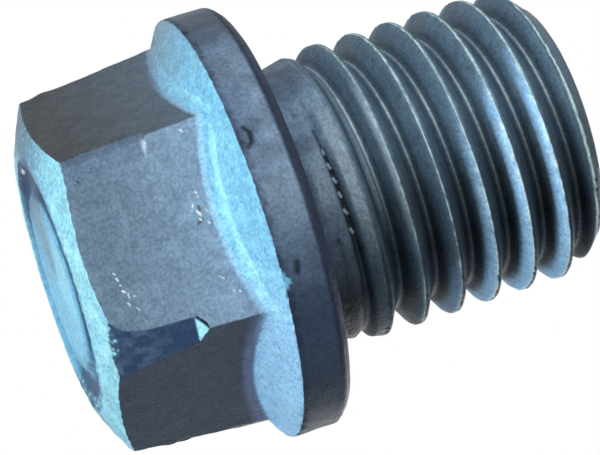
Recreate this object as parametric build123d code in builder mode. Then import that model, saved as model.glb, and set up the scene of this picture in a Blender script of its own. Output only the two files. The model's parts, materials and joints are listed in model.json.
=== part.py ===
from build123d import *
import math
import os

# Oil drain plug, forged and thread-rolled in one piece, in millimetres.
# It stands on the outer end of its hex head: z = 0 is that end, +Z runs along the
# axis to the tip of the thread, and two of the hex flats face -Y and +Y.

# Hex head
head_sides = 6
head_across_flats = 12.3      # at the outer end
head_draft = 4.6              # degrees that each flat leans outwards towards the flange
corner_round = 0.2
end_face_radius = 5.3         # where the end chamfer meets the end face
end_chamfer_angle = 22.8      # degrees between the chamfer and the end face
flat_fillet = 0.4             # where the flats run into the flange

# Shallow ring groove pressed into the end face
ring_groove_radius = 4.1      # to the middle of the groove
ring_groove_width = 1.3       # at its mouth
ring_groove_floor = 0.6
ring_groove_depth = 0.25

# Flange
flange_overhang = 0.735       # how far it stands out past the hex corners
head_height = 6.82            # from the end face to the front edge of the rim
flange_slope = 30             # degrees of the front face from level
rim_thickness = 2.03          # from the front edge of the rim to the sealing face
rim_front_round = 0.12
rim_back_chamfer = 0.32

# Neck and shank
shank_length = 11.8           # from the sealing face to the tip
neck_radius = 5.5             # the blank that the thread is rolled on
neck_fillet = 0.3
neck_length = 1.25            # from the sealing face to where the rolled metal begins to rise
crest_rise = 1.5              # length over which it reaches the full radius
tip_chamfer = 1.0

# Right-hand metric thread
thread_radius = 5.85
thread_pitch = 1.5
flank_angle = 30              # degrees between a flank and a plane square to the axis
full_thread_start = 3.3875    # from the sealing face to the first full root, on the +X side
runout_length = 2.0           # axial length over which the groove fades out into the neck
runout_overrun = 0.3          # how much further the fading cut is carried, clear of the neck

# Corners of the head that a slipping wrench has taken down: the angle of each corner,
# then how far its facet reaches along the flat before the corner and the flat after
# it, at the outer end and at the wrench's depth
wrench_depth = 3.85
worn_corners = {
    -60: ((0.85, 1.6), (0.5, 0.85)),
    -120: ((0.45, 0.3), (0.35, 0.2)),
}


def corner_radius_at(height):
    """Distance of the sharp hex corners from the axis, at a height above the outer end."""
    half_across = head_across_flats / 2 + height * math.tan(math.radians(head_draft))
    return half_across / math.cos(math.pi / head_sides)


# Places worked out from the sizes above
seat_height = head_height + rim_thickness
tip_height = seat_height + shank_length
crest_start = seat_height + neck_length
thread_join = seat_height + full_thread_start
head_top = head_height + rim_front_round
chamfer_gain = head_top / math.tan(math.radians(end_chamfer_angle))
flange_radius = corner_radius_at(head_height) + flange_overhang
core_radius = head_across_flats / 4
core_height = head_height - (flange_radius - core_radius) * math.tan(math.radians(flange_slope))

# Groove section in the proportions of the metric thread
thread_depth = 0.613 * thread_pitch
thread_root_width = thread_pitch / 8
root_radius = thread_radius - thread_depth
crest_clearance = 0.4


def point_on_flat(angle, height, distance):
    """A point of the hex outline, this far along the flat before (-) or after (+) a corner."""
    turn = math.copysign(math.pi / 2 + math.pi / head_sides, distance)
    corner = Vector(corner_radius_at(height), 0).rotate(Axis.Z, angle)
    return corner + Vector(abs(distance), 0).rotate(Axis.Z, angle + math.degrees(turn))


def wear_triangle(angle, height, before, after):
    """Outline of what the wrench took off one corner, widened past both flats."""
    start = point_on_flat(angle, height, -before)
    end = point_on_flat(angle, height, after)
    outside = Vector(1.5 * corner_radius_at(height), 0).rotate(Axis.Z, angle)
    return [start + (start - end), outside, end + (end - start)]


def groove_outline(height):
    """Section of the thread groove at the +X side, carried past the crest."""
    depth = thread_depth + crest_clearance
    half_root = thread_root_width / 2
    half_mouth = half_root + depth * math.tan(math.radians(flank_angle))
    return [
        (root_radius, height - half_root),
        (root_radius, height + half_root),
        (root_radius + depth, height + half_mouth),
        (root_radius + depth, height - half_mouth),
    ]


with BuildPart() as shank:
    # Rolled rod, longer than the plug so that the groove runs out past the tip
    rod_top = tip_height + 2 * thread_pitch
    with BuildSketch(Plane.XZ):
        with BuildLine():
            Polyline(
                (0, core_height),
                (neck_radius + neck_fillet, core_height),
                (neck_radius + neck_fillet, seat_height),
                (neck_radius, seat_height + neck_fillet),
                (neck_radius, crest_start),
                (thread_radius, crest_start + crest_rise),
                (thread_radius, rod_top),
                (0, rod_top),
                close=True,
            )
        make_face()
    revolve(axis=Axis.Z)

    # Thread groove
    with BuildSketch(Plane.XZ) as groove:
        with BuildLine():
            Polyline(*groove_outline(thread_join), close=True)
        make_face()
    with BuildLine() as thread_path:
        Helix(
            thread_pitch,
            tip_height + thread_pitch - thread_join,
            root_radius,
            center=(0, 0, thread_join),
        )
    sweep(groove.sketch, thread_path.line, is_frenet=True, mode=Mode.SUBTRACT)

    # Run-out, where the groove climbs out of the neck. A helix that runs down starts
    # on the -X side, so it is turned half round to meet the full thread.
    fade_angle = math.degrees(math.atan2(neck_radius - root_radius, runout_length))
    runout = Helix(
        thread_pitch / math.cos(math.radians(fade_angle)),
        runout_length + runout_overrun,
        root_radius,
        center=(0, 0, thread_join),
        direction=(0, 0, -1),
        cone_angle=fade_angle,
        mode=Mode.PRIVATE,
    ).rotate(Axis.Z, 180)
    sweep(groove.sketch, runout, is_frenet=True, mode=Mode.SUBTRACT)

    # Tip, chamfered at 45 degrees and cut to length
    with BuildSketch(Plane.XZ):
        with BuildLine():
            Polyline(
                (0, core_height),
                (thread_radius + tip_chamfer, core_height),
                (thread_radius + tip_chamfer, tip_height - 2 * tip_chamfer),
                (thread_radius - tip_chamfer, tip_height),
                (0, tip_height),
                close=True,
            )
        make_face()
    revolve(axis=Axis.Z, mode=Mode.INTERSECT)

with BuildPart() as drain_plug:
    # Hex head, carried up into the flange
    with BuildSketch():
        RegularPolygon(head_across_flats / 2, head_sides, major_radius=False)
        fillet(vertices(), corner_round)
    extrude(amount=head_top, taper=-head_draft)

    # End chamfer
    with BuildSketch(Plane.XZ):
        with BuildLine():
            Polyline(
                (0, 0),
                (end_face_radius, 0),
                (end_face_radius + chamfer_gain, head_top),
                (0, head_top),
                close=True,
            )
        make_face()
    revolve(axis=Axis.Z, mode=Mode.INTERSECT)

    # Flange with its sloping front
    with BuildSketch(Plane.XZ):
        with BuildLine():
            Polyline(
                (0, core_height),
                (core_radius, core_height),
                (flange_radius, head_height),
                (flange_radius, seat_height - rim_back_chamfer),
                (flange_radius - rim_back_chamfer, seat_height),
                (0, seat_height),
                close=True,
            )
        make_face()
        fillet(vertices().sort_by_distance((flange_radius, head_height))[0], rim_front_round)
    revolve(axis=Axis.Z)

    # Flats run into the flange
    flat_ends = drain_plug.edges().filter_by(
        lambda edge: edge.geom_type != GeomType.LINE
        and edge.bounding_box().min.Z > core_height
        and edge.bounding_box().max.Z < head_height - rim_front_round
    )
    fillet(flat_ends, flat_fillet)

    # Worn corners
    for angle, (outer, inner) in worn_corners.items():
        with BuildSketch():
            with BuildLine():
                Polyline(*wear_triangle(angle, 0, *outer), close=True)
            make_face()
        with BuildSketch(Plane.XY.offset(wrench_depth)):
            with BuildLine():
                Polyline(*wear_triangle(angle, wrench_depth, *inner), close=True)
            make_face()
        loft(mode=Mode.SUBTRACT)

    # Ring groove in the end face
    groove_side = (ring_groove_width - ring_groove_floor) / 2
    with BuildSketch(Plane.XZ):
        with Locations((ring_groove_radius, 0)):
            Trapezoid(
                ring_groove_width,
                ring_groove_depth,
                math.degrees(math.atan2(ring_groove_depth, groove_side)),
                align=(Align.CENTER, Align.MIN),
            )
    revolve(axis=Axis.Z, mode=Mode.SUBTRACT)

    add(shank.part)

drain_plug.part.label = "drain_plug"
os.makedirs("parts", exist_ok=True)
export_step(drain_plug.part, "parts/drain_plug.step")
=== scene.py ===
"""Looks of the oil drain plug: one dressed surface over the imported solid, and a plain studio."""

import json
import math

import bpy
import numpy as np
from bpy.props import FloatProperty, FloatVectorProperty, IntProperty, PointerProperty
from mathutils import Matrix, Vector


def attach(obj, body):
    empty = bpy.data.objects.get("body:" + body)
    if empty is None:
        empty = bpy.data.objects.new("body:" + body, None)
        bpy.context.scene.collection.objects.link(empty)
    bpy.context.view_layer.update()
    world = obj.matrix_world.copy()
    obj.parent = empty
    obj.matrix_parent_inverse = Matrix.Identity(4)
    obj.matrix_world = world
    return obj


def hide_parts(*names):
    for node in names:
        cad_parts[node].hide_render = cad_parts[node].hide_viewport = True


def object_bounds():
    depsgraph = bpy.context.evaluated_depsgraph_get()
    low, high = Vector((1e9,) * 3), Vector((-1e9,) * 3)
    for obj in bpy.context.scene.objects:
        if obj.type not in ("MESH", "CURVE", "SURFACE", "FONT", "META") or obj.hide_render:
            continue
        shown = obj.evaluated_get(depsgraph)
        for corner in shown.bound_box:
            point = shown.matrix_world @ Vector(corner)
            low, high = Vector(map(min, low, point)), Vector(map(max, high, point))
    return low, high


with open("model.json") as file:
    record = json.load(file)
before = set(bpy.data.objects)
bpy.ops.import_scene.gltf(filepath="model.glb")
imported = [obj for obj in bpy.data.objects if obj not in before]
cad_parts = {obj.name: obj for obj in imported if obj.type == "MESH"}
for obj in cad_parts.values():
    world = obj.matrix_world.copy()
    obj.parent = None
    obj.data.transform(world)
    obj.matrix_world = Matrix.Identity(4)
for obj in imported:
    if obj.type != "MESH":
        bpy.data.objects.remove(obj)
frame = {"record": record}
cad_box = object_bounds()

bl_info = {
    "name": "Oil drain plug",
    "version": (1, 0, 0),
    "blender": (4, 5, 0),
    "location": "View3D > Sidebar > Drain plug",
    "description": "Adds a worn hex flange drain plug and a plain studio",
    "category": "Add Mesh",
}

MM = 0.001
NODE = "drain_plug"
HEX_SIDES = 6
TURN = 2 * math.pi
SIXTH = TURN / HEX_SIDES

# Azimuths in degrees of the flat that faces -Y, of the flats on its two sides and of the
# flat behind
MIDDLE_FLAT = -90
LOWER_FLAT = -30
UPPER_FLAT = -150
REAR_FLAT = 90

# Phases of the rows in one pitch of the thread, from the root line at 0 over the crest at 0.5
THREAD_PHASES = (0.0, 0.05, 0.085, 0.14, 0.2, 0.25, 0.3, 0.38, 0.44,
                 0.475, 0.51, 0.56, 0.6, 0.75, 0.915, 0.95)

# Stations of the thread and the tip. The head's stations run from 0 at the middle of the
# end face to 14 on the neck: 1 to 4 ring groove, 5 end chamfer, 6 to 9 flats, 10 flange
# edge, 11 to 12 back chamfer of the rim, 13 foot of the neck
THREAD = 20
TIP = 30

# Thread section, as shares of the pitch
THREAD_DEPTH = 0.613
ROOT_WIDTH = 1 / 8

# The most that wear lowers the surface, in millimetres: the broad and the fine unevenness,
# what hammered faces have on top, and the nicks of the three edges
BROAD_WEAR = 0.030
FINE_WEAR = 0.010
HAMMERED_WEAR = 0.045
FLANGE_NICK = 0.22
CHAMFER_NICK = 0.14
CREST_NICK = 0.10

# Marks on the middle flat: millimetres along the flat from its middle, then height
SCRATCHES = (
    (((0.74, 1.31), (0.80, 1.37)), 0.05), (((0.95, 1.36), (1.04, 1.39)), 0.06),
    (((1.22, 1.41), (1.24, 1.44)), 0.045), (((1.44, 1.43), (1.52, 1.51)), 0.065),
    (((1.60, 1.59), (1.74, 1.6)), 0.06), (((1.74, 1.76), (1.77, 1.83)), 0.045),
    (((1.64, 1.95), (1.68, 2.0)), 0.04), (((1.93, 1.49), (2.02, 1.53)), 0.055),
    (((2.19, 1.75), (2.29, 1.8)), 0.045),
    (((-1.17, 5.05), (-1.12, 5.08)), 0.055), (((-1.0, 5.08), (-0.96, 5.12)), 0.05),
    (((-0.75, 4.82), (-0.66, 4.8)), 0.06), (((-0.46, 4.9), (-0.32, 4.99)), 0.075),
    (((-0.43, 5.22), (-0.33, 5.28)), 0.055), (((-0.56, 4.69), (-0.53, 4.72)), 0.045),
    (((-0.17, 4.9), (-0.12, 4.95)), 0.06), (((0.02, 5.16), (0.09, 5.21)), 0.06),
    (((2.03, 4.93), (2.16, 5.06)), 0.045), (((2.33, 5.35), (2.4, 5.38)), 0.045),
    (((2.64, 5.24), (2.7, 5.28)), 0.045), (((2.75, 5.46), (2.79, 5.5)), 0.05),
    (((-3.5, 5.25), (-3.42, 5.3)), 0.07),
)
PITS = (
    (((-2.92, 1.09), (-2.78, 1.16)), 0.075), (((-1.3, 2.2), (-1.25, 2.22)), 0.05),
    (((2.7, 3.5), (2.74, 3.52)), 0.05),
)
STAINS = ((((-0.62, 5.0), (-0.5, 5.02)), 0.1), (((-0.12, 4.97), (-0.02, 4.82)), 0.09))

# Painted highlights on the end face: azimuth in degrees, distance from the axis, then height
END_HIGHLIGHTS = (
    (((170, 4.57, 0.13), (176, 4.57, 0.13)), 0.14), (((3, 4.95, 0.0), (8, 4.95, 0.0)), 0.11),
)

# Marks on the rim and on the neck: azimuth in degrees, then height. The neck has a dark
# score line with light rungs across it.
RIM_STAINS = (
    (((-108.9, 7.2), (-107.2, 7.36)), 0.15), (((-107.2, 7.36), (-104.6, 7.32)), 0.18),
    (((-104.6, 7.32), (-103.6, 7.12)), 0.15), (((-73.0, 7.5), (-70.5, 7.44)), 0.2),
)
SCORES = (
    (((-113, 10.27), (-104, 10.31)), 0.13), (((-104, 10.31), (-95, 10.35)), 0.2),
    (((-95, 10.35), (-86, 10.39)), 0.23), (((-86, 10.38), (-76, 10.43)), 0.25),
    (((-76, 10.40), (-62, 10.40)), 0.2), (((-62, 10.40), (-40, 10.46)), 0.2),
    (((-76, 10.46), (-62, 10.60)), 0.2), (((-62, 10.60), (-40, 10.74)), 0.22),
)
RUNGS = tuple(
    (((turn, 10.745 + 0.0042 * turn - half), (turn + 1.6, 10.745 + 0.0042 * turn + half)), 0.09)
    for turn, half in ((-104, 0.0), (-98, 0.02), (-92, 0.03), (-86, 0.02), (-79, 0.04),
                       (-71, 0.03))
)


def mount_height(name):
    """Height of one of the record's mounts above the outer end of the head, in metres."""
    return next(m["pos_m"][2] for m in frame["record"]["mounts"] if m["name"] == name)


def length(name, default, text):
    """A length property in metres, from a default in millimetres."""
    return FloatProperty(name=name, description=text, default=default * MM, unit="LENGTH",
                         subtype="DISTANCE", precision=5)


def angle(name, default, text):
    """An angle property, from a default in degrees."""
    return FloatProperty(name=name, description=text, default=math.radians(default),
                         unit="ROTATION", subtype="ANGLE")


def factor(name, default, text):
    """A plain number property."""
    return FloatProperty(name=name, description=text, default=default)


def colour(name, default, text):
    """A linear RGB colour property."""
    return FloatVectorProperty(name=name, description=text, default=default, size=3,
                               subtype="COLOR", min=0.0, max=1.0)


class PlugSizes(bpy.types.PropertyGroup):
    """Sizes of the plug, the same as the solid's."""

    across_flats: length("Across flats", 12.3, "Hex width at the outer end of the head")
    draft: angle("Draft", 4.6, "Lean of the flats, outwards towards the flange")
    corner_round: length("Corner round", 0.2, "Radius of the hex corners")
    end_face_radius: length("End face radius", 5.3, "Where the end chamfer starts")
    chamfer_angle: angle("End chamfer", 22.8, "Angle of the chamfer from the end face")
    ring_radius: length("Ring groove radius", 4.1, "Middle of the groove in the end face")
    ring_width: length("Ring groove width", 1.3, "Width of the groove at its mouth")
    ring_floor: length("Ring groove floor", 0.6, "Width of the groove's floor")
    ring_depth: length("Ring groove depth", 0.25, "Depth of the groove")
    flat_fillet: length("Flat fillet", 0.36, "Reach of the fillet between flats and flange")
    flange_slope: angle("Flange slope", 30, "Front face of the flange from level")
    rim_thickness: length("Rim thickness", 2.03, "Rim, from its front edge to the seat")
    rim_chamfer: length("Rim chamfer", 0.32, "Chamfer of the rim beside the seat")
    edge_round: length("Edge round", 0.09, "Softening of the other edges")
    neck_radius: length("Neck radius", 5.5, "Plain neck under the flange")
    neck_fillet: length("Neck fillet", 0.3, "Foot of the neck")
    neck_length: length("Neck length", 1.25, "From the seat to where the crests start to rise")
    crest_rise: length("Crest rise", 1.5, "Length over which the crests reach full height")
    thread_radius: length("Thread radius", 5.85, "Radius of the crests")
    pitch: length("Pitch", 1.5, "Rise of the right-hand thread in one turn")
    flank_angle: angle("Flank angle", 30, "Between a flank and a plane square to the axis")
    first_root: length("First root", 3.3875, "From the seat to the first full root, at +X")
    runout: length("Run-out", 2.0, "Length over which the groove fades into the neck")
    tip_chamfer: length("Tip chamfer", 1.0, "Chamfer at the tip")
    wrench_depth: length("Wrench depth", 3.85, "How far the worn corners reach up the head")


class PlugMesh(bpy.types.PropertyGroup):
    """Fineness of the plug's surface."""

    front_columns: IntProperty(name="Front columns", default=74, min=8, max=96,
                               description="Columns on each sixth of a turn on the -Y side")
    back_columns: IntProperty(name="Back columns", default=36, min=8, max=96,
                              description="Columns on each sixth of a turn on the +Y side")
    crowding: factor("Crowding", 0.55, "How much closer the columns stand at the hex corners")


class PlugFinish(bpy.types.PropertyGroup):
    """Colours of the plug's finish, as linear values; several are painted light and shade."""

    # Painted light: the middle flat is a lit copy of the flat colour; the other flats get some of
    # this tone
    flat_lit_and_worn: colour("Flat, rubbed", (0.145, 0.222, 0.305), "Hex flat rubbed by a wrench")
    flat_pale: colour("Flat, polished", (0.27, 0.41, 0.57), "Rubbed flat beside the flange")
    flat_dull: colour("Flat, dull", (0.055, 0.065, 0.074), "Hex flats with all their coating")
    # Painted shade: the lower flat is a shaded copy of the flat colour
    flat_painted_shade: colour("Flat, oiled", (0.048, 0.068, 0.096), "Hex flat stained dark by oil")
    # Painted highlight along the fillet's edge
    fillet: colour("Fillet", (0.36, 0.66, 0.92), "Fillet between the flats and the flange")
    violet: colour("Fillet, tarnished", (0.16, 0.21, 0.37), "Tarnish beside the flange")
    # Painted light: the lit colour of the end face, chamfer, flange front and the burr on the
    # flange's edge
    bright: colour("Bright faces", (0.21, 0.56, 0.82), "End face, chamfer and flange front")
    # Painted shade on the upper side, towards -X, of these faces
    bright_shaded: colour("Bright faces, dull", (0.18, 0.29, 0.39), "The same with more coating")
    # Polished edges and dents, and painted highlights on the end face, chamfer, fillet and flange
    # front
    pale: colour("Pale edges", (0.42, 0.88, 1.0), "Polished edges and dents")
    # Painted shade in the ring groove and on the end face; also the colour of the worn corners
    navy: colour("Hollows", (0.022, 0.055, 0.13), "Groove walls and the worn corners")
    rim: colour("Rim", (0.12, 0.185, 0.285), "Rim of the flange")
    # Painted light on the rim's front
    rim_pale: colour("Rim, rubbed", (0.21, 0.305, 0.42), "Rim beside the seat")
    # Painted shade on the rim's side towards +X
    rim_painted_shade: colour("Rim, oiled", (0.032, 0.052, 0.09), "Rim stained dark by oil")
    # Stains and edges of the rim; also painted shade in the ring groove, on the rim's back chamfer
    # and under the worn corner's lip
    rim_dark: colour("Rim, stained", (0.015, 0.022, 0.045), "Stains and edges of the rim")
    neck: colour("Neck", (0.25, 0.38, 0.55), "Neck")
    # Painted shade on the neck's side towards +X
    neck_painted_shade: colour("Neck, oiled", (0.008, 0.010, 0.012), "Neck stained dark by oil")
    thread: colour("Thread", (0.097, 0.162, 0.228), "Flanks of the thread")
    # Painted shade in the thread's depth, on its side towards +X and on the rim's lower side; also
    # dark stains, the neck's score and the tip's patches
    thread_dark: colour("Thread, deep", (0.004, 0.007, 0.011), "Oily depth of the thread")
    # Painted light on the crests and on the lower front of the flange front; the crests are also
    # rubbed
    crest: colour("Crests", (0.35, 0.66, 1.0), "Crests rubbed bright")
    # Painted highlights along the crest edges
    edge: colour("Crest edges", (0.68, 0.95, 1.0), "Thin bright edges of the crests")
    # Painted highlight along the thread's root, on the first turns and across the neck's front;
    # also the light rungs across the neck's score
    root_line: colour("Root line", (0.56, 0.73, 0.82), "Floor of the thread groove")
    stain: colour("Stain", (0.08, 0.035, 0.035), "Rust-brown stain")
    # Fresh scratches, and painted highlights on the end face
    bare: colour("Bare metal", (0.80, 0.92, 0.97), "Fresh scratches")


class StudioSettings(bpy.types.PropertyGroup):
    """Camera, lamps and floor."""

    aim: length("Aim height", 9.677, "Height on the axis that the camera looks past")
    aside: length("Aim aside", 0.814, "How far beside the axis the camera aims, along +X")
    distance: length("Distance", 107.54, "From the camera to its aim")
    bearing: angle("Bearing", 3.68, "Turn of the view from +Y towards -X")
    tilt: angle("Tilt", 11.64, "How far the camera looks up")
    roll: angle("Roll", 72.24, "Turn of the camera about its own view")
    lens: factor("Lens", 165.7, "Focal length in millimetres on a 36 mm sensor")


def column_angles(mesh):
    """Angles of the columns, crowded at the hex corners and denser on the -Y side.

    On each sixth of a turn the angle is 60 degrees times t - c sin(2 pi t) / (2 pi), for t
    from 0 to 1 and a crowding of c.
    """
    angles = []
    for flat in range(HEX_SIDES):
        count = mesh.back_columns if flat < HEX_SIDES / 2 else mesh.front_columns
        t = np.arange(count) / count
        angles.append(SIXTH * (flat + t - mesh.crowding * np.sin(TURN * t) / TURN))
    return np.concatenate(angles)


def hex_radius(theta, height, sizes):
    """Radius of the tapered hex with rounded corners.

    A flat at half width a is a / cos(angle from its middle). Near a corner it is the circle
    of the corner round, whose centre lies (a - round) / cos(30 degrees) from the axis.
    """
    half = sizes.across_flats / 2 + height * math.tan(sizes.draft)
    turn = np.abs((theta + SIXTH / 2) % SIXTH - SIXTH / 2)
    flat = half / np.cos(SIXTH / 2 - turn)
    centre = (half - sizes.corner_round) / math.cos(SIXTH / 2)
    reach = np.maximum(sizes.corner_round**2 - (centre * np.sin(turn)) ** 2, 0)
    on_round = turn < np.arctan2(sizes.corner_round * math.sin(SIXTH / 2),
                                 centre + sizes.corner_round * math.cos(SIXTH / 2))
    return np.where(on_round, centre * np.cos(turn) + np.sqrt(reach), flat)


def rounded_profile(corners, rounds, runs, steps):
    """Rows of a profile of straight runs with rounded corners, for all columns at once.

    corners holds (radius, height) arrays. At each inner corner the profile leaves the
    straight at the corner's round and crosses to the next run on a quadratic curve whose
    control point is the corner, with the given number of rows on the curve. Returns the rows
    and their stations: a row's station is the number of the corner before it plus its share
    of the run to the next one.
    """
    points = np.array(corners)
    along = np.diff(points, axis=0)
    along /= np.linalg.norm(along, axis=1, keepdims=True)
    rows, stations = [points[0]], [0.0]
    last = points[0]
    for k, run in enumerate(runs):
        corner = points[k + 1]
        inner = k + 1 < len(runs)
        before = corner - along[k] * rounds[k] if inner else corner
        rows += [last + (before - last) * (i + 1) / run for i in range(run)]
        stations += [k + 0.04 + 0.92 * (i + 1) / run for i in range(run)]
        if inner:
            last = corner + along[k + 1] * rounds[k]
            for i in range(steps[k] + 1):
                t = (i + 1) / (steps[k] + 1)
                rows.append((1 - t) ** 2 * before + 2 * t * (1 - t) * corner + t * t * last)
                stations.append(k + 0.96 + 0.08 * t)
    return np.array(rows), np.array(stations)


def head_profile(theta, sizes, neck_end):
    """Rows from the middle of the end face to a height on the neck."""
    level = np.zeros_like(theta)
    slope = (sizes.ring_width - sizes.ring_floor) / 2
    ring_in = sizes.ring_radius - sizes.ring_width / 2
    ring_out = sizes.ring_radius + sizes.ring_width / 2
    seat = mount_height("seat")
    front = seat - sizes.rim_thickness
    flange_radius = cad_box[1][0]

    # Where the chamfer cone and the flange's front cone meet the hex, by fixed-point steps
    edge_radius = sizes.end_face_radius + level
    foot_radius = sizes.across_flats / 2 + level
    for _ in range(12):
        edge_height = (edge_radius - sizes.end_face_radius) * math.tan(sizes.chamfer_angle)
        edge_radius = hex_radius(theta, edge_height, sizes)
        foot_height = front - (flange_radius - foot_radius) * math.tan(sizes.flange_slope)
        foot_radius = hex_radius(theta, foot_height, sizes)

    def on_hex(height):
        return hex_radius(theta, height + level, sizes), height + level

    corners = [
        (level, level),
        (ring_in + level, level),
        (ring_in + slope + level, sizes.ring_depth + level),
        (ring_out - slope + level, sizes.ring_depth + level),
        (ring_out + level, level),
        (sizes.end_face_radius + level, level),
        (edge_radius, edge_height),
        on_hex(sizes.wrench_depth - 0.5 * MM),
        on_hex(sizes.wrench_depth + 0.45 * MM),
        (foot_radius, foot_height),
        (flange_radius + level, front + level),
        (flange_radius + level, seat - sizes.rim_chamfer + level),
        (flange_radius - sizes.rim_chamfer + level, seat + level),
        (sizes.neck_radius + level, seat + level),
        (sizes.neck_radius + level, neck_end + level),
    ]
    soft = sizes.edge_round
    rounds = [soft, soft, soft, soft, soft, soft, soft, soft, sizes.flat_fillet, soft, soft,
              soft, sizes.neck_fillet]
    runs = [6, 2, 2, 2, 3, 11, 18, 17, 11, 12, 12, 2, 6, 4]
    steps = [1, 1, 1, 1, 2, 2, 0, 0, 8, 2, 1, 1, 2]
    return rounded_profile(corners, rounds, runs, steps)


def chord_radius(theta, height, sizes, corner, before, after):
    """Radius of the chord across one hex corner, from a point on each of its flats.

    before and after are how far the chord reaches along the flats from the sharp corner.
    The chord from P to Q is, in polar form, cross(P, Q - P) / cross(direction, Q - P).
    """
    sharp = (sizes.across_flats / 2 + height * math.tan(sizes.draft)) / math.cos(SIXTH / 2)
    lean = math.pi / 2 + SIXTH / 2
    px = sharp * math.cos(corner) + before * np.cos(corner - lean)
    py = sharp * math.sin(corner) + before * np.sin(corner - lean)
    qx = sharp * math.cos(corner) + after * np.cos(corner + lean)
    qy = sharp * math.sin(corner) + after * np.sin(corner + lean)
    dx, dy = qx - px, qy - py
    near = np.cos(theta - corner) > math.cos(SIXTH / 2)
    across = np.cos(theta) * dy - np.sin(theta) * dx
    cut = near & (before + after > 0.01 * MM)
    return np.where(cut, (px * dy - py * dx) / np.where(cut, across, 1), np.inf)


def worn_head(theta, radius, height, station, sizes):
    """Head rows with the hex corners taken down by a slipping wrench.

    Each facet is a chord whose reaches along the two flats depend on the height, and at the
    wrench's depth both shrink to nothing, which leaves a small ramp. Returns the radius and
    how deep each of the two big facets lies below the corner.
    """
    h = height / MM
    deep = sizes.wrench_depth / MM
    noise = value_noise(np.stack([h, h * 0 + 4, np.degrees(theta) / 8 + 0 * h], -1), 0.55, 21)
    on_hex = (station[:, None] > 5.5) & (station[:, None] < 9.2)
    facets = []
    for corner, before, after in (
        (-60, (0.56 + 0.9 * np.exp((0.45 - h) / 0.4)) * ramp_down(h, deep - 0.12, deep + 0.4),
         (0.62 + 0.3 * (deep - h)) * ramp_down(h, deep - 0.25, deep + 0.17)),
        (-120, 0.28 * ramp_down(h, deep, deep + 0.2) + 0.16 * noise,
         0.78 * ramp_down(h, deep - 0.1, deep + 0.12) + 0.22 * noise),
        (180, 0.1 + 0.25 * noise, 0.1 + 0.25 * noise),
        (0, 0.1 + 0.3 * noise, 0.1 + 0.25 * noise),
        (60, 0.1 + 0.35 * noise, 0.1 + 0.3 * noise),
        (120, 0.1 + 0.25 * noise, 0.1 + 0.35 * noise),
    ):
        chord = chord_radius(theta, height, sizes, math.radians(corner), MM * before,
                             MM * after)
        facets.append(np.where(on_hex, np.maximum(radius - chord, 0), 0))
    worn = radius - np.max(facets, axis=0)
    return worn, facets[0] / MM, facets[1] / MM


def ramp_down(x, start, end):
    """1 up to start, 0 from end on, and a straight line between them."""
    return np.clip((end - x) / (end - start), 0, 1)


def soft_min(a, b, soft):
    """The smaller of two values, blended over a width of soft where they are close."""
    near = np.maximum(soft - np.abs(a - b), 0) / soft
    return np.minimum(a, b) - near * near * soft / 4


def thread_radii(z, turn, sizes, tip):
    """Radii of the threaded shank.

    The blank is the neck, then a cone up to the crests, then the crests, then the tip
    chamfer. The groove is a vee with a narrow floor at the root radius, and its floor climbs
    in a straight line to the neck's surface below the first full root. The radius is the
    smaller of the two, softened at the edges.
    """
    seat = mount_height("seat")
    rise = np.clip((z - seat - sizes.neck_length) / sizes.crest_rise, 0, 1)
    blank = sizes.neck_radius + (sizes.thread_radius - sizes.neck_radius) * rise
    blank = soft_min(blank, sizes.thread_radius - sizes.tip_chamfer + tip - z, 0.06 * MM)
    root = sizes.thread_radius - THREAD_DEPTH * sizes.pitch
    offset = (turn - np.round(turn))[:, None] * sizes.pitch
    full = seat + sizes.first_root
    fade = np.maximum(full - (z - offset), 0) / sizes.runout
    floor = root + (sizes.neck_radius - root) * fade
    half_root = ROOT_WIDTH * sizes.pitch / 2
    side = np.maximum(np.abs(offset) - half_root, 0) / math.tan(sizes.flank_angle)
    return soft_min(blank, floor + side, 0.05 * MM)


def value_noise(points, size, seed):
    """Smooth noise from 0 to 1: random numbers at lattice points, blended by smoothstep."""
    table = np.random.default_rng(seed).random((32, 32, 32))
    cell = points / size
    low = np.floor(cell).astype(int)
    t = cell - low
    t = t * t * (3 - 2 * t)
    total = np.zeros(points.shape[:-1])
    for dx in (0, 1):
        for dy in (0, 1):
            for dz in (0, 1):
                share = np.abs(1 - dx - t[..., 0]) * np.abs(1 - dy - t[..., 1])
                share = share * np.abs(1 - dz - t[..., 2])
                total += share * table[(low[..., 0] + dx) % 32, (low[..., 1] + dy) % 32,
                                       (low[..., 2] + dz) % 32]
    return total


def grid_cells(ids):
    """Four corners of each cell of a grid of point numbers, turned outwards."""
    return np.stack([ids[:-1, :-1], ids[:-1, 1:], ids[1:, 1:], ids[1:, :-1]],
                    axis=-1).reshape(-1, 4)


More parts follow.
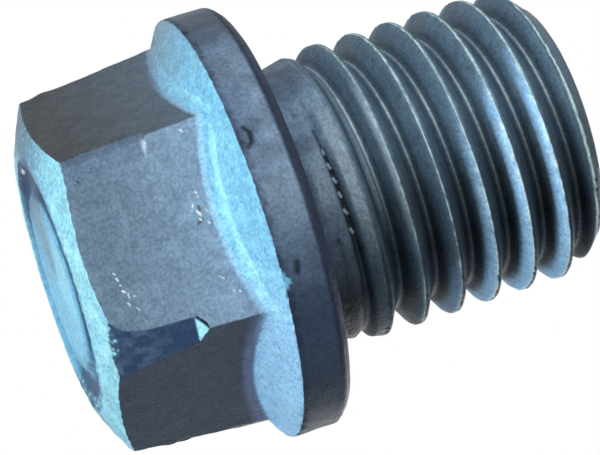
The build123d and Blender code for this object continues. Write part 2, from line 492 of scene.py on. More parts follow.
def plug_surface(sizes, mesh):
    """Points and cells of the whole plug, as one closed surface, and where each point is.

    The head and the tip are level rows. The thread's rows climb one pitch in a turn, so the
    last column joins the first one a whole pitch of rows further up, and where a row leaves
    the shank at either end its points become those of the level row there. Each point gets
    a station: a head row's own, THREAD on the thread and TIP on the tip, and each point of
    the thread gets its turn: whole numbers are roots and halves are crests.
    """
    theta = column_angles(mesh)
    seat = mount_height("seat")
    tip = cad_box[1][2]
    low = seat + sizes.neck_length - 0.25 * MM
    high = tip - sizes.edge_round / 2

    head, head_station = head_profile(theta, sizes, low)
    head_z = head[:, 1]
    head_r, facet_low, facet_high = worn_head(theta, head[:, 0], head_z, head_station, sizes)

    full = seat + sizes.first_root
    start = math.floor((low - full) / sizes.pitch) - 1
    turns = math.ceil((high - full) / sizes.pitch) + 1 - start
    turn = np.add.outer(start + np.arange(turns), np.array(THREAD_PHASES)).ravel()
    climb = full + sizes.pitch * (turn[:, None] + theta[None, :] / TURN)
    shank_z = np.clip(climb, low, high)
    shank_r = thread_radii(shank_z, turn, sizes, tip)

    end_r = sizes.thread_radius - sizes.tip_chamfer
    cap_r = np.append([end_r + sizes.edge_round / 2],
                      np.append(np.linspace(end_r - sizes.edge_round / 2, MM, 8), 0.0))
    cap_r = cap_r[:, None] + 0 * theta
    cap_z = np.full_like(cap_r, tip)
    cap_z[0] = high

    free = (climb > low) & (climb < high)
    head_id = np.arange(head_r.size).reshape(head_r.shape)
    cap_id = head_r.size + free.sum() + np.arange(cap_r.size).reshape(cap_r.shape)
    shank_id = np.zeros(climb.shape, int)
    shank_id[free] = head_r.size + np.arange(free.sum())
    shank_id = np.where(climb <= low, head_id[-1], shank_id)
    shank_id = np.where(climb >= high, cap_id[0], shank_id)
    head_id[0] = 0
    cap_id[-1] = cap_id[-1, 0]

    rows = len(THREAD_PHASES)
    next_turn = np.append(shank_id[rows:, 0], np.full(rows, cap_id[0, 0]))
    cells = np.concatenate([
        grid_cells(np.column_stack([head_id, head_id[:, 0]])),
        grid_cells(np.column_stack([shank_id, next_turn])),
        grid_cells(np.column_stack([cap_id, cap_id[:, 0]])),
    ])

    def gathered(on_head, on_shank, on_cap):
        shank = np.broadcast_to(on_shank, climb.shape)[free]
        return np.concatenate([np.broadcast_to(on_head, head_r.shape).ravel(), shank,
                               np.broadcast_to(on_cap, cap_r.shape).ravel()])

    around = gathered(theta, theta, theta)
    radius = gathered(head_r, shank_r, cap_r)
    height = gathered(head_z, shank_z, cap_z)
    place = {
        "azimuth": (np.degrees(around) + 180) % 360 - 180,
        "height": height / MM,
        "radius": radius / MM,
        "station": gathered(head_station[:, None], THREAD, TIP),
        "turn": gathered(0, turn[:, None] - start, 0),
        "facet_low": gathered(facet_low, 0, 0),
        "facet_high": gathered(facet_high, 0, 0),
    }
    points = np.column_stack([radius * np.cos(around), radius * np.sin(around), height])
    return points, cells, place


def outward(points, cells):
    """Unit normals of the points, summed from the cells around them."""
    a, b, c, d = (points[cells[:, k]] for k in range(4))
    normal = np.cross(c - a, d - b)
    total = np.zeros_like(points)
    for k in range(4):
        np.add.at(total, cells[:, k], normal)
    size = np.linalg.norm(total, axis=1, keepdims=True)
    return total / np.maximum(size, 1e-20)


def span(x, low, high, soft):
    """1 between two values and 0 outside them, with straight edges of the given width."""
    return np.clip((x - low) / soft + 0.5, 0, 1) * np.clip((high - x) / soft + 0.5, 0, 1)


def bell(x, middle, width):
    """A bell of height 1: exp of minus the square of the distance over the width."""
    return np.exp(-((x - middle) / width) ** 2)


def turn_from(azimuth, middle):
    """Degrees from one azimuth to the others, from -180 to 180."""
    return (azimuth - middle + 180) % 360 - 180


def add_regions(place):
    """Adds the masks that both the wear and the paint use to the places."""
    station, height = place["station"], place["height"]
    place["flat"] = span(station, 6, 9, 0.02)
    place["thread"] = (station == THREAD).astype(float)
    place["phase"] = place["turn"] % 1
    place["arc"] = np.radians(turn_from(place["azimuth"], MIDDLE_FLAT)) * place["radius"]
    spur_end = 7.1 - 0.6 * np.abs(place["arc"] - 3.1)
    place["spur"] = (span(station, 10.0, 11.0, 0.04) * span(place["arc"], 2.7, 3.4, 0.3)
                     * span(height, 6.7, spur_end, 0.06))
    place["hammered"] = (span(station, 3.9, 5.98, 0.04) + 0.5 * span(station, 9.02, 9.98, 0.04)
                         + 0.4 * span(station, 0, 1, 0.02))
    place["hammered"] *= 0.3 + 0.7 * span(turn_from(place["azimuth"], -75), -62, 120, 30)


def worn_points(points, cells, place):
    """Points moved along their normals by hammered unevenness, nicks and dents.

    Noise of two sizes lowers the head, less so the shank. Crests, the flange's front edge
    and the chamfer's edge lose small nicks where a third noise is high. Nothing moves
    outwards past the box of the solid.
    """
    station, thread = place["station"], place["thread"]
    fine = FINE_WEAR + HAMMERED_WEAR * place["hammered"]
    depth = (BROAD_WEAR * value_noise(points, 0.60 * MM, 3)
             + fine * value_noise(points, 0.22 * MM, 4))
    depth = depth * np.where(station < 14, 1.0, 0.35)
    nick = np.clip(value_noise(points, 0.2 * MM, 5) - 0.45, 0, 1) / 0.55
    depth += nick * (FLANGE_NICK * bell(station, 10.0, 0.05)
                     + CHAMFER_NICK * bell(station, 6.0, 0.05)
                     + CREST_NICK * thread * bell(place["phase"], 0.48, 0.07))
    moved = points - outward(points, cells) * depth[:, None] * MM
    radius = np.hypot(moved[:, 0], moved[:, 1])
    moved[:, :2] *= np.minimum(1, cad_box[1][0] / np.maximum(radius, MM))[:, None]
    moved[:, 2] = np.clip(moved[:, 2], 0, cad_box[1][2])
    return moved


def plug_tint(finish, points, place):
    """Colour of the finish at every point, laid on coat by coat.

    Each coat is a colour and its share from 0 to 1. The shares come from the station along the
    profile, the azimuth, the height and noise, in the order in which they are listed. Many coats
    are painted light, shade and highlights rather than colours of the steel.
    """
    azimuth, height, station = place["azimuth"], place["height"], place["station"]
    arc, flat = place["arc"], place["flat"]
    cloud = value_noise(points, 0.9 * MM, 7)
    patch = np.clip(2.2 * value_noise(points, 0.55 * MM, 8) - 0.6, 0, 1)
    fleck = np.clip(3.0 * value_noise(points, 0.28 * MM, 9) - 1.1, 0, 1)
    jag = 0.02 * (value_noise(points, 0.16 * MM, 10) - 0.5)

    def around(route):
        """Share by azimuth: straight lines between (azimuth, share) pairs."""
        return np.interp(azimuth, *zip(*route))

    # Painted shade on the side of the plug towards +X, on the rim and the neck
    rim_shade = around(((-180, 0.25), (-150, 0.2), (-130, 0), (-92, 0), (-60, 1), (0, 1),
                       (60, 0.4), (180, 0.25)))
    neck_shade = around(((-180, 0.5), (-150, 0.45), (-125, 0), (-80, 0.55), (-40, 1), (0, 1),
                        (60, 0.5), (180, 0.5)))
    upper = around(((-180, 1), (-155, 0.9), (-115, 0), (90, 0), (180, 1)))
    lower = around(((-180, 0), (-75, 0), (-45, 1), (10, 1), (60, 0), (180, 0)))
    middle = around(((-180, 0), (-135, 0.3), (-110, 1), (-60, 1), (-30, 0.4), (30, 0.2),
                     (180, 0)))

    # End face, chamfer and flange front
    # Shares by azimuth of the painted shade on the groove's far and near walls
    far_groove_shade = around(((-180, 0.8), (-155, 0.3), (-130, 0), (-50, 0), (-25, 0.8), (25, 0.9),
                         (50, 0.25), (115, 0.25), (150, 0.95), (180, 0.8)))
    near_groove_shade = around(((-180, 0), (-150, 0.9), (-40, 0.9), (-10, 0), (180, 0)))
    # Painted highlight along the far edge of the land
    far_edge_highlight = around(((-180, 0.6), (-160, 0), (45, 0), (65, 1), (150, 1), (180, 0.6)))
    end_side = span(station, -1, 6, 0.02)
    chamfer = span(station, 4.96, 6, 0.02)
    # Share by azimuth of the painted highlight on the chamfer's front, which also has polished
    # flecks
    lit_and_polished = around(((-180, 0), (-140, 0.15), (-105, 1), (-60, 1), (-20, 0.9), (30, 0.3),
                       (180, 0)))
    cone = span(station, 8.98, 10, 0.008)
    near_flange = np.clip((height - 1.5) / 4, 0, 1)

    # Rim, from its front edge to the seat, and the neck
    rim = span(station, 10 + jag, 13.5, 0.015)
    neck = span(station, 13.02, 20.5, 0.04)

    # Worn corners and the steps where they end
    facet_low = span(place["facet_low"], 0.006, 9, 0.008)
    facet_high = span(place["facet_high"], 0.03, 9, 0.04)
    across = np.radians(turn_from(azimuth, -60)) * place["radius"]
    step_low = facet_low * span(height, 3.6, 4.3, 0.05)
    # Painted shadow under the step where the worn corner ends
    lip = step_low * span(across, -1.2, -0.42 + 1.25 * (height - 3.62), 0.1)
    step_high = facet_high * span(height, 3.76, 4.1, 0.06) * span(arc, -3.7, -2.9, 0.2)

    def on_flat(middle_azimuth):
        """1 on the flat with its middle at an azimuth, and 0 elsewhere."""
        return span(turn_from(azimuth, middle_azimuth), -30, 30, 0.8)

    on_middle = on_flat(MIDDLE_FLAT)
    coats = [
        # Painted light and shade on the hex flats: the middle flat, facing -Y, is painted lighter,
        # paler still beside the flange, and the lower flat darker
        (finish.flat_lit_and_worn, on_middle),
        (finish.flat_pale, 0.8 * on_middle * near_flange),
        (finish.flat_lit_and_worn, 0.45 * on_flat(UPPER_FLAT) * near_flange),
        (finish.flat_painted_shade, on_flat(LOWER_FLAT)),
        (finish.flat_lit_and_worn, 0.4 * on_flat(REAR_FLAT)),
        (finish.rim_dark, 0.12 * patch * flat),
        (finish.violet, span(station, 8.74, 9.1, 0.2) * 0.7 * lower),
        # Painted highlight along the fillet's edge on the front
        (finish.fillet, span(station, 8.955, 9.02, 0.02) * (1 - upper) * (1 - lower)),

        # Painted light on the end face and chamfer, and painted shade on their upper side
        (finish.bright, end_side),
        (finish.bright_shaded, end_side * upper * (0.7 + 0.3 * cloud)),
        # Painted shade on the groove's walls, on the end face near azimuth 180 and from -28 to 46
        # degrees, and on the land and chamfer from 4 to 52 degrees
        (finish.navy, span(station, 2.1, 4.02, 0.3) * far_groove_shade),
        (finish.rim_dark, 0.9 * span(station, 1.42, 2.4, 0.12) * near_groove_shade),
        (finish.navy, 0.75 * span(station, 0.95, 4.9, 0.3)
         * span(turn_from(azimuth, 180), -26, 34, 12)),
        (finish.navy, 0.65 * span(station, 0.95, 4.8, 0.3) * (1 - 0.8 * fleck)
         * span(azimuth, -28, 46, 12)),
        (finish.navy, 0.8 * span(station, 4.2, 5.4, 0.3) * (1 - 0.6 * fleck)
         * span(azimuth, 4, 52, 14)),
        # Painted highlights on the middle of the end face, along the land's far edge and on the
        # chamfer's front
        (finish.pale, 0.5 * span(station, -1, 0.9, 0.1) * middle),
        (finish.pale, span(station, 4.1, 5.1, 0.1) * far_edge_highlight),
        (finish.pale, chamfer * lit_and_polished * (0.55 + 0.45 * fleck)),
        (finish.flat_dull, 0.45 * chamfer * span(turn_from(azimuth, 180), -20, 34, 20)),
        (finish.navy, 0.14 * patch * span(station, 1, 5.9, 0.1)),
        # Painted light on the flange front, with painted shade on its upper side
        (finish.bright, cone),
        (finish.bright_shaded, cone * around(((-180, 1), (-168, 0.95), (-150, 0.55), (-122, 0),
                                            (90, 0), (180, 1)))),
        # Painted light on the lower front of the flange front
        (finish.crest, 0.95 * cone * around(((-180, 0), (-82, 0), (-55, 1), (15, 1), (50, 0),
                                             (180, 0)))),
        # Painted highlight along the flange front's inner edge, and painted glints on its front
        (finish.pale, 0.9 * span(station, 9.02, 9.10, 0.03) * middle * (1 - lower)),
        (finish.pale, 0.25 * fleck * cone * middle),

        (finish.rim, rim),
        # Painted light on the rim's front, lighter towards the seat
        (finish.rim_pale, rim * middle * (1 - rim_shade) * span(height, 7.7, 8.5, 0.8)),
        (finish.rim_dark, rim * span(station, 9.9, 11.0, 0.05) * 0.4 * patch),
        (finish.rim_pale, 0.6 * rim * bell(azimuth, -90, 13)),
        (finish.rim_pale, 0.4 * rim * bell(azimuth, -130, 9)),
        (finish.flat_dull, 0.5 * rim * span(azimuth, -176, -143, 10)),
        # Painted shade on the rim's side towards +X
        (finish.rim_painted_shade, rim * rim_shade),
        (finish.thread_dark, 0.5 * rim * around(((-180, 0), (-48, 0), (-28, 1), (5, 1), (40, 0),
                                                 (180, 0)))),
        (finish.rim_dark, rim * span(station, 9.9, 10.12 + 4 * jag, 0.06)
         * (0.4 + 0.4 * patch)),
        # Painted shade on the rim's back chamfer and the seat
        (finish.rim_dark, 0.9 * span(station, 10.93, 13.0, 0.05)),
        (finish.neck, neck),
        # Painted shade on the neck's side towards +X
        (finish.neck_painted_shade, neck * neck_shade),
        (finish.rim_dark, 0.35 * patch * neck),
        # Painted highlight across the neck's front
        (finish.root_line, 0.33 * neck * bell(azimuth, -92, 12) * span(height, 9.62, 10.22, 0.1)),
        # Painted light on the burr on the flange's edge
        (finish.bright, 0.9 * place["spur"]),

        *thread_coats(finish, place, fleck, around),
        (finish.thread, station == TIP),
        (finish.thread_dark, 0.45 * (station == TIP) * (0.5 + 0.5 * patch)),

        (finish.navy, 0.95 * facet_low),
        (finish.rim, facet_low * (0.08 + 0.45 * fleck * np.clip((3.2 - height) / 1.5, 0, 1))),
        (finish.rim, 0.65 * facet_high * span(height, 0, 3.9, 0.1)),
        (finish.pale, step_low),
        # Painted shadow under the lip of the worn corner's step
        (finish.rim_dark, lip),
        (finish.bare, 0.5 * step_high),
    ]
    tint = np.empty_like(points)
    tint[:] = finish.flat_dull
    for paint, share in coats:
        tint += (np.array(paint) - tint) * share[:, None]
    return tint


def thread_coats(finish, place, fleck, around):
    """Coats of the thread: painted shade in its depth, a painted highlight along its root and
    painted light on rubbed crests.

    A crest is rubbed and painted lit from the head side up to a line a little before its middle.
    The painted light is strongest beside the tip and on the lower front, where light gets past the
    flange's shadow. The crest cut by the tip's chamfer has a wider painted highlight on its edge.
    """
    azimuth, height = place["azimuth"], place["height"]
    phase, thread = place["phase"], place["thread"]
    # Painted shade on the side of the plug towards +X
    lower_shade = around(((-180, 0.3), (-150, 0), (-105, 0), (-75, 0.75), (-50, 1), (-20, 0.75),
                   (20, 0.4), (90, 0.5), (180, 0.3)))
    line = around(((-180, 0.53), (-90, 0.478), (-20, 0.462), (30, 0.455), (70, 0.475),
                   (180, 0.53)))
    foot = around(((-180, 0.29), (-60, 0.27), (-30, 0.23), (5, 0.15), (60, 0.28), (180, 0.29)))
    # Share of painted light and rubbing on the crests, strongest beside the tip and on the lower
    # front, where light gets past the flange's shadow
    lit_and_rubbed = np.clip((height - 14.3) / 2.4, 0, 1) * np.clip(
        (azimuth + 125 - 5.3 * (18.6 - height)) / 25, 0, 1)
    lit_and_rubbed += 0.35 * np.clip(height - 13, 0, 1) * around(((-180, 0), (-50, 0), (-20, 1),
                                                         (10, 1), (40, 0), (180, 0)))
    lit_and_rubbed = np.clip(lit_and_rubbed, 0, 1) * around(((-180, 1), (10, 1), (50, 0.3), (180, 0.3)))
    lit_and_rubbed *= np.clip((19.7 - height) / 0.3, 0, 1)
    fresh = np.clip((height - 10.2) / 1.8, 0, 1)
    last = np.clip((height - 19.2) / 0.4, 0, 1) * bell(azimuth, -95, 50)

    # The first turns, where the groove runs out: flattened crests and a root with painted
    # highlights
    first_crest = span(phase, 0.22, 0.56, 0.06) * span(height, 10.45, 11.35, 0.1) * around(
        ((-180, 0), (-130, 0), (-112, 0.35), (-90, 0.45), (-72, 0.2), (-55, 0), (180, 0)))
    first_gap = span(phase, 0.62, 0.80, 0.05) * span(height, 11.0, 11.7, 0.1) * around(
        ((-180, 0), (-150, 0.3), (-130, 0.6), (-60, 0.6), (-20, 0.3), (0, 0), (180, 0)))
    first_root = span(phase, 0.86, 1.2, 0.04) * span(height, 11.4, 12.1, 0.1) * around(
        ((-180, 0), (-140, 0.3), (-110, 0.4), (-90, 0.5), (-72, 0.15), (-60, 0), (180, 0)))
    second_crest = span(phase, 0.37, 0.48, 0.05) * span(height, 12.1, 12.9, 0.1) * around(
        ((-180, 0), (-130, 0), (-112, 0.45), (-88, 0.35), (-65, 0.1), (-50, 0), (180, 0)))
    root_light = around(((-180, 0.45), (-135, 0.4), (-112, 1), (-95, 0.8), (-60, 0.7),
                         (-30, 0.5), (180, 0.45)))
    # Painted shade by phase: the shadow that each crest casts on the foot of the next flank, and
    # the shade deep in the groove
    plain = np.interp(phase, (0, 0.08, 0.12, 0.18, 0.25, 0.6, 0.75, 0.9, 1),
                      (0.1, 0.5, 0.6, 0.1, 0, 0, 0, 0.15, 0.1))
    groove_shade = np.interp(phase, (0, 0.08, 0.12, 0.2, 0.3, 0.45, 0.58, 0.7, 0.85, 1),
                       (0.9, 0.97, 1, 0.95, 0.7, 0.4, 0.75, 0.85, 1, 0.95))
    return [
        (finish.thread, thread * fresh),
        # Painted shade on the flanks' feet and deep in the groove
        (finish.thread_dark, thread * fresh * plain),
        (finish.thread_dark, thread * fresh * groove_shade * lower_shade),
        (finish.thread_dark, thread * first_gap),
        (finish.root_line, thread * first_crest),
        (finish.root_line, thread * first_root),
        (finish.root_line, thread * second_crest),
        # Painted highlight along the root
        (finish.root_line, thread * span(phase, 0.02, 0.075, 0.03) * (1 - 0.9 * lower_shade)
         * np.clip((height - 10.6) / 0.6, 0, 1) * root_light),
        # Painted light on the head side of the crests
        (finish.crest, thread * span(phase, foot, line, 0.05) * lit_and_rubbed
         * np.clip((phase - foot) / 0.12 + 0.3, 0, 1)),
        # Painted highlights along the crest edges
        (finish.edge, 0.8 * thread * span(phase, line - 0.09, line, 0.03) * lit_and_rubbed
         * np.clip(1.8 * fleck - 0.4, 0, 1) * bell(azimuth, -85, 35)),
        (finish.edge, thread * span(phase, line - 0.02 - 0.02 * last, line + 0.02 + 0.03 * last,
                                    0.02)
         * np.clip((height - 11.0) / 2, 0.15, 1)
         * np.clip(0.5 + 0.4 * fleck + 0.3 * lit_and_rubbed + 0.5 * last - 0.4 * lower_shade * (1 - lit_and_rubbed),
                   0, 1)),
        # Painted shade just past the crest line on the side towards +X
        (finish.thread_dark, thread * span(phase, line + 0.03, 0.60, 0.03) * lower_shade * 0.6),
    ]


def plug_mesh(name, points, cells):
    """A smooth mesh of the cells, with squeezed ones as triangles or left out."""
    used, flat = np.unique(cells, return_inverse=True)
    cells = flat.reshape(-1, 4)
    doubled = cells == np.roll(cells, -1, axis=1)
    squeezed = doubled.sum(axis=1)
    quads = cells[squeezed == 0]
    lean = squeezed == 1
    triangles = cells[lean][~doubled[lean]].reshape(-1, 3)
    loops = np.concatenate([quads.ravel(), triangles.ravel()]).astype(np.int32)
    sizes = np.repeat([4, 3], [len(quads), len(triangles)])
    starts = (np.cumsum(sizes) - sizes).astype(np.int32)
    data = bpy.data.meshes.new(name)
    data.vertices.add(len(used))
    data.vertices.foreach_set("co", points[used].astype(np.float32).ravel())
    data.loops.add(len(loops))
    data.loops.foreach_set("vertex_index", loops)
    data.polygons.add(len(starts))
    data.polygons.foreach_set("loop_start", starts)
    data.update(calc_edges=True)
    data.validate()
    data.shade_smooth()
    return data, used


def add_mask(data, name, values):
    """A named share for each point, which the material reads."""
    mask = data.attributes.new(name, "FLOAT", "POINT")
    mask.data.foreach_set("value", np.clip(values, 0, 1).astype(np.float32))


def add_tint(data, colours):
    """The colour of each point, which the material reads."""
    tint = data.attributes.new("tint", "FLOAT_COLOR", "POINT")
    full = np.column_stack([np.clip(colours, 0, 1), np.ones(len(colours))])
    tint.data.foreach_set("color", full.astype(np.float32).ravel())


def node(tree, kind, inputs=None, **settings):
    """A new shader node with its settings made and its inputs set or linked."""
    made = tree.nodes.new("ShaderNode" + kind)
    for name, value in settings.items():
        setattr(made, name, value)
    for name, value in (inputs or {}).items():
        if isinstance(value, bpy.types.NodeSocket):
            tree.links.new(value, made.inputs[name])
        else:
            made.inputs[name].default_value = value
    return made


def new_group(name, inputs, outputs):
    """An empty shader node group with named sockets, and its two ends."""
    group = bpy.data.node_groups.new(name, "ShaderNodeTree")
    for socket, kind in inputs:
        group.interface.new_socket(socket, in_out="INPUT", socket_type="NodeSocket" + kind)
    for socket, kind in outputs:
        group.interface.new_socket(socket, in_out="OUTPUT", socket_type="NodeSocket" + kind)
    start = group.nodes.new("NodeGroupInput")
    end = group.nodes.new("NodeGroupOutput")
    return group, start.outputs, end.inputs


def grain_group():
    """Speckle from 0 to 1: two sizes of noise added and stretched by the contrast."""
    group, given, result = new_group(
        "Steel grain", [("Vector", "Vector"), ("Scale", "Float"), ("Contrast", "Float")],
        [("Grain", "Float")])
    fine = node(group, "TexNoise", {"Vector": given["Vector"], "Scale": given["Scale"],
                                    "Detail": 2.0, "Roughness": 0.6})
    part = node(group, "Math", {0: given["Scale"], 1: 0.3}, operation="MULTIPLY")
    broad = node(group, "TexNoise", {"Vector": given["Vector"], "Scale": part.outputs[0],
                                     "Detail": 2.0})
    both = node(group, "Math", {0: broad.outputs["Fac"], 1: 0.5, 2: fine.outputs["Fac"]},
                operation="MULTIPLY_ADD")
    centred = node(group, "Math", {0: both.outputs[0], 1: 0.75}, operation="SUBTRACT")
    stretched = node(group, "Math", {0: centred.outputs[0], 1: given["Contrast"], 2: 0.5},
                     operation="MULTIPLY_ADD", use_clamp=True)
    group.links.new(stretched.outputs[0], result["Grain"])
    return group


def stroke_group():
    """Mask of a short straight mark: 1 on the line from start to end, 0 a width away.

    With d the way from start to end and v the way from start to the place, the share along
    is v.d / d.d kept from 0 to 1, and the distance is the length of v minus that much of d.
    """
    group, given, result = new_group(
        "Short mark", [("Vector", "Vector"), ("Start", "Vector"), ("End", "Vector"),
                       ("Width", "Float")], [("Mask", "Float")])
    way = node(group, "VectorMath", {0: given["End"], 1: given["Start"]}, operation="SUBTRACT")
    here = node(group, "VectorMath", {0: given["Vector"], 1: given["Start"]},
                operation="SUBTRACT")
    along = node(group, "VectorMath", {0: here.outputs[0], 1: way.outputs[0]},
                 operation="DOT_PRODUCT")
    whole = node(group, "VectorMath", {0: way.outputs[0], 1: way.outputs[0]},
                 operation="DOT_PRODUCT")
    share = node(group, "Math", {0: along.outputs["Value"], 1: whole.outputs["Value"]},
                 operation="DIVIDE", use_clamp=True)
    foot = node(group, "VectorMath", {0: way.outputs[0], "Scale": share.outputs[0]},
                operation="SCALE")
    gap = node(group, "VectorMath", {0: here.outputs[0], 1: foot.outputs[0]},
               operation="DISTANCE")
    mask = node(group, "MapRange", {"Value": gap.outputs["Value"], "From Min": 0.0,
                                    "From Max": given["Width"], "To Min": 1.0, "To Max": 0.0},
                interpolation_type="SMOOTHSTEP")
    group.links.new(mask.outputs[0], result["Mask"])
    return group


def grain(tree, group, place, scale, contrast):
    """One placed grain group with its own size and contrast."""
    made = node(tree, "Group", node_tree=group)
    tree.links.new(place, made.inputs["Vector"])
    made.inputs["Scale"].default_value = scale
    made.inputs["Contrast"].default_value = contrast
    return made.outputs["Grain"]


def strokes(tree, group, place, marks, point_at):
    """Mask of all the marks of one kind: the greatest of their stroke masks."""
    mask = None
    for (start, end), width in marks:
        made = node(tree, "Group", node_tree=group)
        tree.links.new(place, made.inputs["Vector"])
        made.inputs["Start"].default_value = point_at(*start)
        made.inputs["End"].default_value = point_at(*end)
        made.inputs["Width"].default_value = width * MM
        here = made.outputs["Mask"]
        if mask is not None:
            here = node(tree, "Math", {0: mask, 1: here}, operation="MAXIMUM").outputs[0]
        mask = here
    return mask


def mask_of(tree, name):
    """Output of one of the mesh's masks."""
    return node(tree, "Attribute", attribute_name=name).outputs["Fac"]


def between(tree, share, low, high):
    """Value that runs from low to high with a share."""
    return node(tree, "MapRange", {"Value": share, "To Min": low, "To Max": high}).outputs[0]


def blended(tree, share, first, second):
    """Colour mixed from the first to the second by a share."""
    mix = node(tree, "Mix", {0: share}, data_type="RGBA")
    for index, value in ((6, first), (7, second)):
        if isinstance(value, bpy.types.NodeSocket):
            tree.links.new(value, mix.inputs[index])
        else:
            mix.inputs[index].default_value = (*value, 1.0)
    return mix.outputs[2]


def plug_material(finish, sizes):
    """Phosphated steel: the mesh's tint, with its painted light and shade, a fine grain, marks and
    a hammered bump.
    """
    material = bpy.data.materials.new("phosphated_steel")
    material.use_nodes = True
    tree = material.node_tree
    shader = tree.nodes["Principled BSDF"]
    place = node(tree, "TexCoord").outputs["Object"]
    group = grain_group()
    mark = stroke_group()
    speckle = grain(tree, group, place, 8000.0, 2.4)
    cloud = grain(tree, group, place, 900.0, 1.8)

    def on_flat(along, height):
        half = sizes.across_flats / 2 + height * MM * math.tan(sizes.draft)
        return along * MM, -half, height * MM

    def on_end(azimuth, radius, height):
        turn = math.radians(azimuth)
        return radius * MM * math.cos(turn), radius * MM * math.sin(turn), height * MM

    def on_rim(azimuth, height):
        turn = math.radians(azimuth)
        return cad_box[1][0] * math.cos(turn), cad_box[1][0] * math.sin(turn), height * MM

    def on_neck(azimuth, height):
        turn = math.radians(azimuth)
        radius = sizes.neck_radius - 0.05 * MM
        return radius * math.cos(turn), radius * math.sin(turn), height * MM

    tint = node(tree, "Attribute", attribute_name="tint").outputs["Color"]
    level = node(tree, "Math", {0: between(tree, speckle, 0.76, 1.24),
                                1: between(tree, cloud, 0.93, 1.07)}, operation="MULTIPLY")
    base = node(tree, "VectorMath", {0: tint, "Scale": level.outputs[0]}, operation="SCALE")
    base = base.outputs[0]
    for marks, point_at, paint, share in (
        (STAINS, on_flat, finish.stain, 0.85), (PITS, on_flat, finish.rim_dark, 0.8),
        (RIM_STAINS, on_rim, finish.thread_dark, 0.85),
        (SCORES, on_neck, finish.thread_dark, 0.95), (RUNGS, on_neck, finish.root_line, 0.55),
        # The painted highlights on the end face take the bare-metal colour
        (SCRATCHES, on_flat, finish.bare, 1.0), (END_HIGHLIGHTS, on_end, finish.bare, 0.9),
    ):
        mask = strokes(tree, mark, place, marks, point_at)
        broken = node(tree, "Math", {0: speckle, 1: 0.6}, operation="ADD")
        mask = node(tree, "Math", {0: mask, 1: broken.outputs[0]}, operation="MULTIPLY",
                    use_clamp=True)
        mask = node(tree, "Math", {0: mask.outputs[0], 1: share}, operation="MULTIPLY")
        base = blended(tree, mask.outputs[0], base, tuple(paint))
    dimples = node(tree, "TexVoronoi", {"Vector": place, "Scale": 3900.0},
                   feature="F1").outputs["Distance"]
    spots = node(tree, "MapRange", {"Value": dimples, "From Min": 0.12, "From Max": 0.42,
                                    "To Min": 0.85, "To Max": 0.0})
    beaten = mask_of(tree, "hammered")
    spots = node(tree, "Math", {0: spots.outputs[0], 1: beaten}, operation="MULTIPLY")
    base = blended(tree, spots.outputs[0], base, tuple(finish.pale))
    tree.links.new(base, shader.inputs["Base Color"])
    tree.links.new(between(tree, cloud, 0.42, 0.6), shader.inputs["Roughness"])
    shader.inputs["Metallic"].default_value = 0.08
    shader.inputs["Specular IOR Level"].default_value = 0.1

    hammered = node(tree, "Math", {0: dimples, 1: beaten, 2: speckle},
                    operation="MULTIPLY_ADD")
    bump = node(tree, "Bump", {"Height": hammered.outputs[0], "Distance": 3e-5,
                               "Strength": 0.6})
    tree.links.new(bump.outputs[0], shader.inputs["Normal"])
    return material


class OBJECT_OT_add_drain_plug(bpy.types.Operator):
    """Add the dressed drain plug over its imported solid"""

    bl_idname = "object.add_drain_plug"
    bl_label = "Add drain plug"

    def execute(self, context):
        scene = context.scene
        points, cells, place = plug_surface(scene.plug_sizes, scene.plug_mesh)
        add_regions(place)
        points = worn_points(points, cells, place)
        tint = plug_tint(scene.plug_finish, points, place)
        data, used = plug_mesh("drain_plug_dressed", points, cells)
        add_tint(data, tint[used])
        add_mask(data, "hammered", place["hammered"][used])
        piece = bpy.data.objects.new("drain_plug_dressed", data)
        context.collection.objects.link(piece)
        data.materials.append(plug_material(scene.plug_finish, scene.plug_sizes))
        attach(piece, "root")
        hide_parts(NODE)
        return {"FINISHED"}


def add_lamp(context, name, direction, distance, size, level, tint):
    """A square soft lamp that looks at the plug.

    level is the share of a white card's brightness that it gives at the plug: a card lit
    to its own colour needs pi squared times the distance squared in watts.
    """
    lamp = bpy.data.lights.new(name, "AREA")
    lamp.size = size
    lamp.energy = level * (math.pi * distance) ** 2
    lamp.color = tint
    holder = bpy.data.objects.new(name, lamp)
    away = Vector(direction).normalized()
    holder.location = Vector((0, 0, cad_box[1][2] / 2)) + away * distance
    holder.rotation_euler = away.to_track_quat("Z", "Y").to_euler()
    context.collection.objects.link(holder)
    return holder


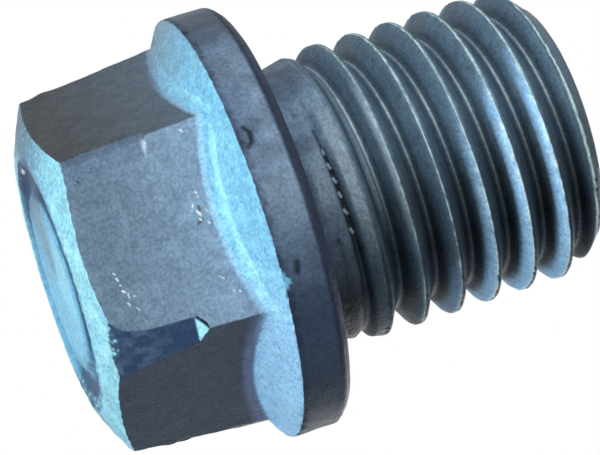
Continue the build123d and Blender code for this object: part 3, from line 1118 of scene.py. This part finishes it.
def floor_material(tint):
    """A pale card that shows from above alone and lets the lamps' light through.

    Only camera rays that meet its upper side see the card. All other rays pass it. Half of what
    they see is the card's own glow, so that it stays pale and keeps a shadow. Right at the plug's
    foot the card's colour and glow are painted darker, as a painted contact shadow.
    """
    material = bpy.data.materials.new("studio_floor")
    material.use_nodes = True
    tree = material.node_tree
    tree.nodes.clear()
    path = node(tree, "LightPath")
    side = node(tree, "NewGeometry")
    front = node(tree, "Math", {0: 1.0, 1: side.outputs["Backfacing"]}, operation="SUBTRACT")
    seen = node(tree, "Math", {0: path.outputs["Is Camera Ray"], 1: front.outputs[0]},
                operation="MULTIPLY")
    place = node(tree, "TexCoord").outputs["Object"]
    away = node(tree, "VectorMath", {0: place}, operation="LENGTH").outputs["Value"]
    # Painted contact shadow: darker colour and less glow close to the plug's foot
    clear_of_painted_shadow = node(tree, "MapRange", {"Value": away, "From Min": 5.5 * MM,
                                            "From Max": 8.8 * MM},
                         interpolation_type="SMOOTHSTEP").outputs[0]
    shade = blended(tree, clear_of_painted_shadow, (0.16, 0.08, 0.06), tint)
    card = node(tree, "BsdfDiffuse", {"Color": shade})
    glow = node(tree, "Emission", {"Color": (1.0, 1.0, 1.0, 1.0),
                                   "Strength": between(tree, clear_of_painted_shadow, 0.3, 0.8)})
    pale = node(tree, "MixShader", {0: 0.5, 1: card.outputs[0], 2: glow.outputs[0]})
    clear = node(tree, "BsdfTransparent")
    mix = node(tree, "MixShader", {0: seen.outputs[0], 1: clear.outputs[0], 2: pale.outputs[0]})
    out = node(tree, "OutputMaterial")
    tree.links.new(mix.outputs[0], out.inputs["Surface"])
    return material


class SCENE_OT_add_plug_studio(bpy.types.Operator):
    """Add the floor, the lamps, the white surround and the camera"""

    bl_idname = "scene.add_plug_studio"
    bl_label = "Add plug studio"

    def execute(self, context):
        studio = context.scene.plug_studio
        half = 2.0
        level = -0.02 * MM
        data = bpy.data.meshes.new("studio_floor")
        data.from_pydata([(-half, -half, level), (half, -half, level), (half, half, level),
                          (-half, half, level)], [], [(0, 1, 2, 3)])
        floor = bpy.data.objects.new("studio_floor", data)
        data.materials.append(floor_material((0.8, 0.82, 0.84)))
        context.collection.objects.link(floor)

        add_lamp(context, "upper_lamp", (-0.72, -0.55, -0.42), 0.3, 0.2, 0.5, (1, 1, 1))
        add_lamp(context, "head_side_lamp", (0.1, -0.5, -0.85), 0.25, 0.16, 0.55,
                 (0.92, 0.97, 1.0))
        add_lamp(context, "tip_side_lamp", (0.1, -0.75, 0.65), 0.3, 0.25, 0.35, (1, 1, 1))
        add_lamp(context, "rear_lamp", (0.3, 0.8, 0.5), 0.3, 0.25, 0.5, (1, 1, 1))

        world = bpy.data.worlds.new("white_surround")
        context.scene.world = world
        world.use_nodes = True
        tree = world.node_tree
        back = tree.nodes["Background"]
        path = node(tree, "LightPath")
        seen = node(tree, "Math", {0: path.outputs["Is Camera Ray"],
                                   1: path.outputs["Is Glossy Ray"]}, operation="MAXIMUM")
        seen = node(tree, "Math", {0: seen.outputs[0],
                                   1: path.outputs["Is Transmission Ray"]}, operation="MAXIMUM")
        back.inputs["Color"].default_value = (1, 1, 1, 1)
        tree.links.new(between(tree, seen.outputs[0], 0.28, 1.0), back.inputs["Strength"])

        camera = bpy.data.cameras.new("photo_camera")
        camera.sensor_width = 36
        camera.lens = studio.lens
        camera.clip_start = 0.001
        holder = bpy.data.objects.new("photo_camera", camera)
        turned = (Matrix.Rotation(studio.bearing, 4, "Z")
                  @ Matrix.Rotation(math.pi / 2 + studio.tilt, 4, "X")
                  @ Matrix.Rotation(studio.roll, 4, "Z"))
        target = Vector((studio.aside, 0, studio.aim))
        back_off = turned.to_3x3() @ Vector((0, 0, studio.distance))
        holder.matrix_world = Matrix.Translation(target + back_off) @ turned
        context.collection.objects.link(holder)
        context.scene.camera = holder
        context.scene.view_settings.view_transform = "Standard"
        return {"FINISHED"}


class VIEW3D_PT_drain_plug(bpy.types.Panel):
    """Buttons and values of the drain plug"""

    bl_label = "Drain plug"
    bl_idname = "VIEW3D_PT_drain_plug"
    bl_space_type = "VIEW_3D"
    bl_region_type = "UI"
    bl_category = "Drain plug"

    def draw(self, context):
        layout = self.layout
        layout.operator(OBJECT_OT_add_drain_plug.bl_idname)
        layout.operator(SCENE_OT_add_plug_studio.bl_idname)
        for name in PROPERTIES:
            values = getattr(context.scene, name)
            box = layout.box()
            for key in values.bl_rna.properties.keys():
                if key not in ("rna_type", "name"):
                    box.prop(values, key)


PROPERTIES = {"plug_sizes": PlugSizes, "plug_mesh": PlugMesh, "plug_finish": PlugFinish,
              "plug_studio": StudioSettings}
CLASSES = (*PROPERTIES.values(), OBJECT_OT_add_drain_plug, SCENE_OT_add_plug_studio,
           VIEW3D_PT_drain_plug)


def register():
    """Adds the classes and the scene's values."""
    for cls in CLASSES:
        bpy.utils.register_class(cls)
    for name, group in PROPERTIES.items():
        setattr(bpy.types.Scene, name, PointerProperty(type=group))


def unregister():
    """Takes the values and the classes away again."""
    for name in PROPERTIES:
        delattr(bpy.types.Scene, name)
    for cls in reversed(CLASSES):
        bpy.utils.unregister_class(cls)


def main():
    register()
    bpy.ops.scene.add_plug_studio()
    bpy.ops.object.add_drain_plug()


if __name__ == "__main__":
    main()
